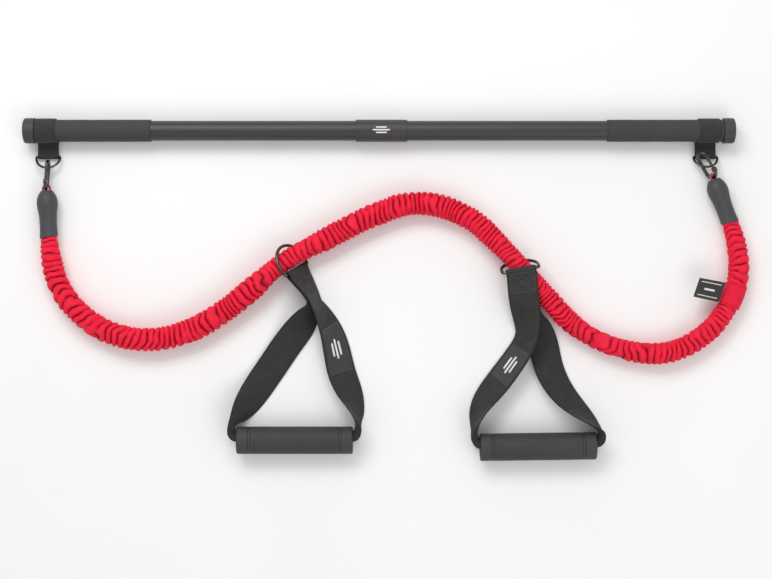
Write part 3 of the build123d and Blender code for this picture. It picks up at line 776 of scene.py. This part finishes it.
def make_cuff(line, along):
    """The smooth sewn sleeve on the band, with a rolled hem at each end."""
    middle = along[np.argmin(np.hypot(line[:, 0] - CUFF_POINT[0], line[:, 1] - CUFF_POINT[1]))]
    stretch = line[np.abs(along - middle) < CUFF_HALF_LENGTH]
    tangent, side, up = line_frames(stretch)
    at = np.linspace(0, 1, len(stretch))
    hem = np.exp(-((np.minimum(at, 1 - at) - 0.05) / 0.03) ** 2) * 0.5 * MM
    angle = np.linspace(0, 2 * math.pi, 96, endpoint=False)[None, :]
    outer = CUFF_RADIUS + hem[:, None] + 0.35 * MM * noise(tube_place(at * 2.2, angle, 1.1), 21)
    inner = outer - 1.0 * MM
    outside = tube_points(stretch, side, up, outer, angle)
    inside = tube_points(stretch, side, up, inner, angle)
    points = np.concatenate([outside, inside[::-1]])
    points[..., 2] = rest_on_floor(points[..., 2])
    cuff = grid_object("cuff", points, wrap_rows=True)
    return finish_piece(cuff, "band", MATERIALS["cuff"], "red_fabric", "sleeve_cuff")


# ---- webbing


def station_frames(stations, start):
    """Centres, across directions and curls of webbing stations that run from a start point."""
    stations = np.array(stations)
    roll = np.radians(stations[:, 3])
    curl = np.radians(stations[:, 4])
    chord = WEBBING_WIDTH * np.sin(curl / 2) / (curl / 2)
    height = stations[:, 2] + np.abs(np.sin(roll)) * chord / 2 + np.cos(roll) * WEBBING_THICKNESS / 2
    centres = np.column_stack([stations[:, :2], height]) * MM
    chain = np.concatenate([[start], centres])
    run = norm(np.gradient(chain, axis=0)[1:])
    right = norm(np.cross(run, UP))
    across = right * np.cos(roll)[:, None] + np.cross(right, run) * np.sin(roll)[:, None]
    return centres, across, curl


def grip_place(side):
    """A grip's centre and axis."""
    joint = JOINTS[f"grip_spin_{side}"]
    return np.array(joint["pos_m"]), np.array(joint["axis"])


def leg_rows(side, sign, middle):
    """Rows (centre, across, curl) for one layer of the strap, from the ring's bar into the grip."""
    leg = (LEG_LEFT if sign < 0 else LEG_RIGHT)[side]
    stations = NECK[side] + leg
    centres, across, curl = station_frames(stations, middle)
    layer = 1 if TOP_LEG[side] == sign else -1
    run = norm(np.gradient(np.concatenate([[middle], centres]), axis=0)[1:])
    normal = np.cross(across, run)
    normal *= np.sign(normal[:, 2:])
    apart = np.array([LAYER_OFFSET] * len(NECK[side]) + [0.5] + [0.0] * (len(leg) - 1)) * MM
    centres = centres + normal * (layer * apart)[:, None]
    centres[:, 2] = np.maximum(centres[:, 2], WEBBING_THICKNESS / 2 * MM)
    centre, axis = grip_place(side)
    end = sign * axis
    level = UP * np.sign(across[-1][2])
    tail = []
    for past_end, ahead, turned in GRIP_ENTRY:
        place = centre + end * (GRIP_LENGTH / 2 + past_end) * MM + np.array([0.0, ahead * MM, 0.0])
        tail.append([*place, *level, math.radians(turned)])
    rows = np.column_stack([centres, across, curl])
    return np.concatenate([rows, tail])


def eye_rows(middle, bar, out, normal):
    """Rows for the turn of webbing round the ring's bar, from one layer to the other."""
    count = 5
    step = math.pi / (count - 1)
    reach = EYE_RADIUS * MM * 3 / (2 + math.cos(step))
    rows = []
    for turn in range(count):
        beta = turn * step
        place = middle + normal * math.cos(beta) * reach - out * math.sin(beta) * reach
        rows.append([*place, *bar, math.radians(2.0)])
    return rows


def same_way(rows):
    """Rows whose across directions all point the same way along the strap."""
    for before, here in zip(rows, rows[1:]):
        if np.dot(before[3:6], here[3:6]) < 0:
            here[3:6] *= -1
    return rows


def rounded_rim(place, rim, least=0.0):
    """1 in the middle and falling round over a rim, for places from -1 to 1 across a piece."""
    into_rim = np.clip((np.abs(place) - 1 + rim) / rim, 0, 1)
    return np.sqrt(np.clip(1 - into_rim**2, least, 1))


def ribbon(name, rows, width, thickness, spans=12):
    """A webbing strip through rows (centre, across, curl), with rounded selvedges."""
    fine = spline_rows(np.array(rows, float), spans)
    centre = fine[:, :3]
    run = norm(np.gradient(centre, axis=0))
    across = fine[:, 3:6] - run * np.sum(fine[:, 3:6] * run, axis=1)[:, None]
    across = norm(across)
    normal = np.cross(across, run)
    curl = np.copysign(np.maximum(np.abs(fine[:, 6]), FLAT_CURL), fine[:, 6])
    along = np.concatenate([[0], np.cumsum(np.linalg.norm(np.diff(centre, axis=0), axis=1))])
    strip = {"centre": centre, "across": across, "normal": normal, "curl": curl, "along": along}
    strip["width"] = width * MM
    half = np.linspace(-1, 1, 23)
    upper = rounded_rim(half, 0.045, 0.12)
    u = np.concatenate([half, half[::-1]]) * width / 2 * MM
    lift = np.concatenate([upper, -upper[::-1]]) * thickness / 2 * MM
    points = strip_points(strip, np.arange(len(centre))[:, None], u[None, :], lift[None, :])
    uv = np.stack(np.broadcast_arrays(u[None, :], along[:, None]), -1)
    points[..., 2] = np.maximum(points[..., 2], 0.2 * MM)
    return grid_object(name, points, uv=uv), strip


def strip_points(strip, row, u, lift):
    """Points on a strip: row is its place along, u across and lift off its middle surface."""
    curl = strip["curl"][row]
    radius = strip["width"] / curl
    alpha = u / radius
    side = np.sin(alpha) * (radius - lift)
    sag = radius * (1 - np.cos(alpha)) - radius * (1 - np.sin(curl / 2) / (curl / 2)) + np.cos(alpha) * lift
    return (
        strip["centre"][row]
        + strip["across"][row] * side[..., None]
        + strip["normal"][row] * sag[..., None]
    )


def strap_path(side):
    """The rows of one handle strap: grip, left leg, round the ring, right leg, grip."""
    joint = JOINTS[f"strap_swing_{side}"]
    middle = np.array(joint["pos_m"])
    bar = np.array(joint["axis"])
    left = leg_rows(side, -1, middle)
    right = leg_rows(side, 1, middle)
    out = norm((left[0, :3] + right[0, :3]) / 2 - middle)
    out = norm(out - bar * np.dot(out, bar))
    normal = norm(np.cross(bar, out))
    if np.dot(left[0, :3] - right[0, :3], normal) < 0:
        normal = -normal
    pinch = middle + out * EYE_PINCH * MM
    layers = [[*(pinch + normal * (turn * LAYER_OFFSET * MM)), *bar, 0.03] for turn in (1, -1)]
    rows = np.concatenate([left[::-1], layers[:1], eye_rows(middle, bar, out, normal), layers[1:], right])
    rows = same_way(rows)
    run = norm(np.gradient(rows[:, :3], axis=0))
    toward_hand = np.cross(rows[:, 3:6], run)[[0, -1], 1]
    rows[: len(left), 6] *= -np.sign(toward_hand[0])
    rows[-len(right):, 6] *= -np.sign(toward_hand[1])
    return rows


def nearest_along(strip, x, y, half):
    """Distance along a strip, in one of its halves, of the centre that is nearest to a place in mm."""
    reach = np.hypot(strip["centre"][:, 0] - x * MM, strip["centre"][:, 1] - y * MM)
    middle = len(reach) // 2
    reach[slice(middle, None) if half < 0 else slice(0, middle)] = np.inf
    return strip["along"][np.argmin(reach)]


def on_strip(strip, along, u, lift):
    """Points at a distance along a strip, a distance u across it and lift off its middle surface."""
    place = np.interp(along, strip["along"], np.arange(len(strip["along"])))
    low = np.clip(np.floor(place).astype(int), 0, len(strip["along"]) - 2)
    part = (place - low)[..., None]
    return strip_points(strip, low, u, lift) * (1 - part) + strip_points(strip, low + 1, u, lift) * part


def stitches(name, lines, radius=0.42, length=2.6, gap=1.2):
    """Sewing stitches along lines of points: short pointed threads, as one object."""
    rings = np.array([-0.5, -0.38, 0.0, 0.38, 0.5])
    swell = np.array([0.15, 0.8, 1.0, 0.8, 0.15])
    angle = np.linspace(0, 2 * math.pi, 6, endpoint=False)
    points, faces = [], []
    for line in lines:
        fine, along = even_steps(line, 0.4 * MM)
        run = norm(np.gradient(fine, axis=0))
        for start in np.arange(0.5 * MM, along[-1] - length * MM, (length + gap) * MM):
            at = int(round((start + length * MM / 2) / along[-1] * (len(along) - 1)))
            side = norm(np.cross(run[at], UP) + 1e-6)
            up = np.cross(side, run[at])
            round_it = side * np.cos(angle)[:, None] + up * np.sin(angle)[:, None]
            shape = fine[at] + run[at] * (rings * length * MM)[:, None, None]
            shape = shape + round_it[None] * (swell * radius * MM)[:, None, None]
            base = len(points)
            points.extend(shape.reshape(-1, 3))
            for ring, column in itertools.product(range(4), range(6)):
                after = (column + 1) % 6
                corner = base + ring * 6
                faces.append((corner + column, corner + after, corner + 6 + after, corner + 6 + column))
            faces.append([base + column for column in range(5, -1, -1)])
            faces.append([base + 24 + column for column in range(6)])
    mesh = bpy.data.meshes.new(name)
    mesh.from_pydata([tuple(point) for point in points], [], faces)
    return mesh_object(name, mesh)


def strip_line(strip, start, end, lift):
    """A line on a strip between two (along, u) places, at a height off its middle surface."""
    share = np.linspace(0, 1, 40)
    along = start[0] + (end[0] - start[0]) * share
    u = start[1] + (end[1] - start[1]) * share
    return on_strip(strip, along, u, np.full(share.shape, lift))


def strip_side(strip, along):
    """1 or -1: which side of a strip faces up at a distance along it."""
    return np.sign(strip["normal"][np.searchsorted(strip["along"], along)][2])


def pad_on_strip(name, strip, alongs, half_width, base, height):
    """A thin pad with rounded edges on a strip, between two distances along it."""
    up = strip_side(strip, (alongs[0] + alongs[1]) / 2)
    share = np.linspace(-1, 1, 61)
    across = np.linspace(-1, 1, 31)
    rise = np.minimum(rounded_rim(share, 0.1)[:, None], rounded_rim(across, 0.1)[None, :]) * height * MM
    along = (alongs[0] + alongs[1]) / 2 + share[:, None] * (alongs[1] - alongs[0]) / 2
    along, u = np.broadcast_arrays(along, across[None, :] * half_width)
    top = on_strip(strip, along, u, up * (base * MM + rise))
    under = on_strip(strip, along, u, np.full(u.shape, up * (base - 0.1) * MM))
    points = np.concatenate([top, under[:, ::-1]], axis=1)
    uv = np.stack([u, along], -1)
    return grid_object(name, points, uv=np.concatenate([uv, uv[:, ::-1]], axis=1))


def stripe_outline(half_length, half_width):
    """Places along and across a stripe with round ends."""
    turn = np.linspace(0, 2 * math.pi, 48, endpoint=False)
    along = np.sign(np.cos(turn)) * (half_length - half_width) + np.cos(turn) * half_width
    return along, np.sin(turn) * half_width


def patch_stripe(name, strip, middle, half_length, shift):
    """A thin printed stripe on a strip's patch; half_length and shift off its middle are in mm."""
    up = strip_side(strip, middle)
    along, wide = stripe_outline(half_length * MM, PATCH_MARK_WIDTH * MM)
    base = WEBBING_THICKNESS / 2 + 0.4
    rows = []
    for share, rise in ((1.0, -0.05), (1.0, 0.1), (0.6, 0.14), (0.05, 0.15)):
        lift = np.full(along.shape, up * (base + rise) * MM)
        rows.append(on_strip(strip, middle + along * share, shift * MM + wide * share, lift))
    return grid_object(name, np.array(rows))


def make_straps():
    """Both handle straps, with their box stitches, patches and marks."""
    for side in SIDES:
        strap, strip = ribbon(f"strap_{side}", strap_path(side), WEBBING_WIDTH, WEBBING_THICKNESS)
        body = f"handle_{side}"
        replaced = (f"handle_strap_{side}", f"strap_patch_{side}")
        finish_piece(strap, body, MATERIALS["webbing"], "webbing", *replaced)
        ends = sorted(nearest_along(strip, *place, PATCH_LEG[side]) for place in PATCH_SPAN[side])
        base = WEBBING_THICKNESS / 2 - 0.1
        patch = pad_on_strip(f"patch_{side}", strip, ends, PATCH_HALF_WIDTH * MM, base, 0.5)
        finish_piece(patch, body, MATERIALS["patch"], "patch_satin")
        middle = sum(ends) / 2
        for number, (shift, half_long) in enumerate(PATCH_MARKS):
            mark = patch_stripe(f"patch_mark_{side}_{number}", strip, middle, half_long, shift)
            finish_piece(mark, body, MATERIALS["mark"], "patch_satin")
        sew_strap(side, strip, ends)


def sew_strap(side, strip, patch_ends):
    """The stitches of one strap: a seam under the ring's bar, a box with a cross, and the patch's ends."""
    joint = JOINTS[f"strap_swing_{side}"]
    eye = np.argmin(np.linalg.norm(strip["centre"] - np.array(joint["pos_m"]), axis=1))
    half = TOP_LEG[side]
    from_eye, long, wide = BOX_SEAM
    start = strip["along"][eye] + half * (EYE_PINCH + from_eye) * MM
    far = start + half * long * MM
    up = strip_side(strip, (start + far) / 2)
    lift = up * (WEBBING_THICKNESS / 2 + 0.05) * MM
    wide *= MM
    corners = [(start, -wide), (start, wide), (far, wide), (far, -wide)]
    lines = [strip_line(strip, a, b, lift) for a, b in zip(corners, corners[1:] + corners[:1])]
    lines.append(strip_line(strip, corners[0], corners[2], lift))
    lines.append(strip_line(strip, corners[1], corners[3], lift))
    for end, inward in zip(patch_ends, (1.5, -1.5)):
        place = end + inward * MM
        high = strip_side(strip, place) * (WEBBING_THICKNESS / 2 + 0.35) * MM
        reach = PATCH_SEAM_HALF * MM
        lines.append(strip_line(strip, (place, -reach), (place, reach), high))
    seam = stitches(f"strap_stitches_{side}", lines)
    finish_piece(seam, f"handle_{side}", MATERIALS["thread"], "webbing")


# ---- webbing loops on the bar


def circle_place(centre, radius, turn):
    """Y and Z in m of a place on a circle of a radius in mm."""
    return centre[0] + math.cos(turn) * radius * MM, centre[1] + math.sin(turn) * radius * MM


def anchor_rows(side, centre_x):
    """Rows of one loop: under the tab, round the bar, over the tab, round the eye and back between them."""
    path = [(0.0, y * MM, z * MM) for y, z in ANCHOR_UNDER]
    for share in np.linspace(0, 1, 21):
        turn = math.radians(ANCHOR_TURN[0] + (ANCHOR_TURN[1] - ANCHOR_TURN[0]) * share)
        skew = ANCHOR_SKEW[side] * math.sin(math.pi * share) * MM
        path.append((skew, *circle_place(BAR_AXIS[1:], ANCHOR_LOOP_RADIUS, turn)))
    path += [(0.0, y * MM, z * MM) for y, z in ANCHOR_OVER]
    eye = JOINTS[f"anchor_fold_{side}"]["pos_m"][1:]
    for turn in np.radians(np.arange(90.0, 271.0, 45.0)):
        path.append((0.0, *circle_place(eye, ANCHOR_EYE_RADIUS, turn)))
    path += [(0.0, y * MM, z * MM) for y, z in ANCHOR_BACK]
    return [[centre_x + skew, y, z, 1.0, 0.0, 0.0, FLAT_CURL] for skew, y, z in path]


def make_anchors():
    """The webbing loops round the bar's foam, each with the eye that holds its small ring."""
    for side in SIDES:
        low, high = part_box(f"anchor_strap_{side}")
        centre_x = (low[0] + high[0]) / 2
        loop, _ = ribbon(f"anchor_{side}", anchor_rows(side, centre_x), ANCHOR_WEBBING_WIDTH, 1.3, spans=8)
        finish_piece(loop, f"anchor_{side}", MATERIALS["webbing"], "webbing", f"anchor_strap_{side}")
        lines = []
        for y, z in ANCHOR_SEAMS:
            reach = ANCHOR_SEAM_HALF * MM
            lines.append(np.array([[centre_x + x, y * MM, z * MM] for x in (-reach, reach)]))
        seam = stitches(f"anchor_stitches_{side}", lines, 0.35, 2.2, 0.9)
        finish_piece(seam, f"anchor_{side}", MATERIALS["thread"], "webbing")


# ---- turned pieces


def turned(name, start, axis, profile, columns=144, relief=None):
    """A closed ring-like solid turned about an axis: profile rows are (distance along, radius) in metres."""
    axis = norm(np.array(axis, float))
    side = norm(np.cross(axis, UP)) if abs(axis[2]) < 0.9 else np.array([1.0, 0.0, 0.0])
    up = np.cross(side, axis)
    profile = np.array(profile)
    angle = np.linspace(0, 2 * math.pi, columns, endpoint=False)
    along, turn = np.broadcast_arrays(profile[:, :1], angle[None, :])
    radius = np.broadcast_to(profile[:, 1:], along.shape).copy()
    if relief is not None:
        shift, rise = relief(along, turn, radius)
        along, radius = along + shift, radius + rise
    points = (
        np.array(start)
        + axis * along[..., None]
        + side * (radius * np.cos(turn))[..., None]
        + up * (radius * np.sin(turn))[..., None]
    )
    # How deep each point sinks is kept as the 'fold' mark, from which the grip's material paints shade into its
    # recesses.
    marks = None if relief is None else {"fold": np.clip(-rise / MM / 0.4, 0, 1)}
    return grid_object(name, points, wrap_rows=True, marks=marks)


def sleeve_profile(length, outer, inner, edge, step=0.75):
    """Rows round a sleeve: along the outside, over the rounded rims and back along the bore, in metres."""
    rows = []
    quarter = np.radians(np.linspace(0, 90, 7))
    for turn in quarter:
        rows.append((edge - edge * math.cos(turn), outer - edge + edge * math.sin(turn)))
    for at in np.arange(edge + step, length - edge, step):
        rows.append((at, outer))
    for turn in quarter[::-1]:
        rows.append((length - edge + edge * math.cos(turn), outer - edge + edge * math.sin(turn)))
    rows += [(length, inner + 0.4), (length - 0.4, inner), (0.4, inner), (0.0, inner + 0.4)]
    return np.array(rows) * MM


def honeycomb(along, around, cell):
    """0 on the lines of a honeycomb to 1 inside its cells."""
    x, y = along / cell, around / cell
    tall = math.sqrt(3)
    best = np.full(x.shape, 9.0)
    second = np.full(x.shape, 9.0)
    for shift_x, shift_y in ((0, 0), (0.5, tall / 2)):
        base_x = np.round(x - shift_x) + shift_x
        base_y = np.round((y - shift_y) / tall) * tall + shift_y
        for step_x in (-1, 0, 1):
            reach = np.hypot(x - base_x - step_x, y - base_y)
            closer = reach < best
            second = np.where(closer, best, np.minimum(second, reach))
            best = np.minimum(best, reach)
    return np.clip((second - best) / 0.22, 0, 1)


def make_grips():
    """The foam grips: smooth end bands, two fine grooves near each end, and a honeycomb between."""
    outer = GRIP_RADIUS
    cells = round(2 * math.pi * outer / (GRIP_CELL * math.sqrt(3)))
    cell = 2 * math.pi * outer / cells / math.sqrt(3)

    def relief(along, turn, radius):
        """Honeycomb and grooves on the outside."""
        place = along / MM
        from_end = np.minimum(place, GRIP_LENGTH - place)
        outside = radius > (outer - 0.1) * MM
        inside_band = np.clip((from_end - GRIP_GROOVES[1] - 1.2) / 1.5, 0, 1)
        rise = -GRIP_RELIEF * (1 - honeycomb(place, turn * outer, cell)) * inside_band
        for groove in GRIP_GROOVES:
            rise = rise - 0.5 * np.exp(-(((from_end - groove) / 0.55) ** 2))
        return 0.0, np.where(outside, rise, 0.0) * MM

    for side in SIDES:
        centre, axis = grip_place(side)
        profile = sleeve_profile(GRIP_LENGTH, outer, GRIP_BORE, 2.0, 0.5)
        start = centre - axis * GRIP_LENGTH / 2 * MM
        grip = turned(f"grip_cover_{side}", start, axis, profile, 180, relief)
        finish_piece(grip, f"grip_{side}_body", MATERIALS["grip"], "grip_foam", f"grip_{side}")


def make_foam_sleeves():
    """The foam sleeves at the bar's ends, slightly uneven and softly rounded where they stop."""
    for side in SIDES:
        low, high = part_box(f"foam_sleeve_{side}")
        length = (high[0] - low[0]) / MM
        outer = (high[2] - low[2]) / 2 / MM

        def relief(along, turn, radius):
            """Slow unevenness of pressed foam."""
            place = np.stack([along / 0.012, np.cos(turn) * 1.4, np.sin(turn) * 1.4], -1)
            outside = radius > (outer - 0.1) * MM
            return 0.0, np.where(outside, noise(place, 31) * 0.12 * MM - 0.06 * MM, 0.0)

        profile = sleeve_profile(length, outer, outer - 1.45, 0.7, 1.0)
        start = (low[0], BAR_AXIS[1], BAR_AXIS[2])
        sleeve = turned(f"foam_{side}", start, (1, 0, 0), profile, 120, relief)
        finish_piece(sleeve, f"bar_{side}", MATERIALS["foam"], "bar_foam", f"foam_sleeve_{side}")


def make_boots():
    """The rubber boots: a rounded bulb, a waist and an end cut at a slant."""
    for side in SIDES:
        top = np.array(BOOT_TOP[side])
        axis = np.array(BOOT_BOTTOM[side]) - top
        length = np.linalg.norm(axis) / MM
        at = np.linspace(0, 1, 90) ** 0.9 * length
        fine = spline_rows(np.array(BOOT_OUTLINE), 8)
        outside = np.interp(at, fine[:, 0], fine[:, 1])
        rows = list(zip(at, outside)) + [(length + 0.5, outside[-1] - 0.5)]
        rows += [(length + past_end, radius) for past_end, radius in BOOT_MOUTH] + BOOT_NECK
        slant = BOOT_SLANT[side]

        def relief(along, turn, radius):
            """The slanting cut, a soft ridge near the end, and slight unevenness."""
            place = np.stack([along / (9 * MM), np.cos(turn), np.sin(turn)], -1)
            along = along / MM
            near_end = np.clip((along / length - 0.72) / 0.28, 0, 1) ** 2
            lean = np.cos(turn - slant[1])
            rise = 0.15 * noise(place, 41) + 0.25 * np.exp(-(((along - length + 2.2) / 0.9) ** 2))
            return near_end * slant[0] * MM * (1 + lean), np.where(radius > 10.2 * MM, rise * MM, 0.0)

        boot = turned(f"boot_cover_{side}", top, axis, np.array(rows) * MM, 120, relief)
        finish_piece(boot, "band", MATERIALS["boot"], "boot_rubber", f"boot_{side}")


def make_collar_marks():
    """Three plain stripes printed round the top of the bar's collar."""
    low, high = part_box("centre_collar")
    radius = (high[2] - low[2]) / 2
    middle = (low[0] + high[0]) / 2
    for number, (shift, half_long) in enumerate(COLLAR_MARKS):
        along, wide = stripe_outline(half_long, COLLAR_MARK_WIDTH)
        rows = []
        for share, rise in ((1.0, -0.1), (1.0, 0.08), (0.6, 0.1), (0.05, 0.1)):
            alpha = (shift + wide * share) * MM / radius
            reach = radius + rise * MM
            y = BAR_AXIS[1] + np.sin(alpha) * reach
            z = BAR_AXIS[2] + np.cos(alpha) * reach
            rows.append(np.column_stack([middle + along * share * MM, y, z]))
        mark = grid_object(f"collar_mark_{number}", np.array(rows))
        finish_piece(mark, "bar_left", MATERIALS["mark"], "collar_plastic")


# ---- tag


def tag_plan(s, t):
    """X and Y of a place on the tag, from its shares along and across."""
    corners = np.array(TAG_CORNERS) * MM
    near = (1 - t) * corners[0] + t * corners[3]
    far = (1 - t) * corners[1] + t * corners[2]
    return (1 - s) * near + s * far


def tag_height(s, t):
    """Height in mm of the tag's middle surface, which curves up from the cuff."""
    return TAG_HEIGHT + 1.1 * np.sin(s * 2.6 + 0.4) - 2.0 * (1 - s) ** 2 + 0.25 * np.sin(t * 7)


def make_tag():
    """The black tag sewn to the cuff: a folded satin strip with plain stripes."""
    s = np.linspace(0, 1, 40)[:, None]
    t = np.linspace(0, 1, 30)[None, :]
    flat = tag_plan(s[..., None], t[..., None])
    rise = tag_height(s, t)
    thick = rounded_rim(2 * s - 1, 0.04, 0.05) * TAG_HALF_THICKNESS
    top = np.dstack([flat, (rise + thick) * MM])
    under = np.dstack([flat, (rise - thick) * MM])
    points = np.concatenate([top, under[:, ::-1]], axis=1)
    uv = np.stack(np.broadcast_arrays(s * TAG_CLOTH[0], t * TAG_CLOTH[1]), -1)
    tag = grid_object("tag", points, uv=np.concatenate([uv, uv[:, ::-1]], axis=1))
    finish_piece(tag, "band", MATERIALS["label"], "label", "label_tag")
    for number, (from_s, to_s, at_t, half) in enumerate(TAG_STRIPES):
        share = np.linspace(from_s, to_s, 30)
        rows = []
        for offset, lift in ((-half, 0.42), (-half, 0.55), (half, 0.55), (half, 0.42)):
            across = at_t + offset
            high = tag_height(share, across) + lift
            rows.append(np.column_stack([tag_plan(share[:, None], across), high * MM]))
        stripe = grid_object(f"tag_stripe_{number}", np.array(rows).transpose(1, 0, 2))
        finish_piece(stripe, "band", MATERIALS["mark"], "label")
    return tag


# ---- running it

make_camera()
make_studio()
paint_cad_nodes()
band, band_line, band_along = make_band()
cuff = make_cuff(band_line, band_along)
tag = make_tag()
make_boots()
make_straps()
make_grips()
make_anchors()
make_foam_sleeves()
make_collar_marks()
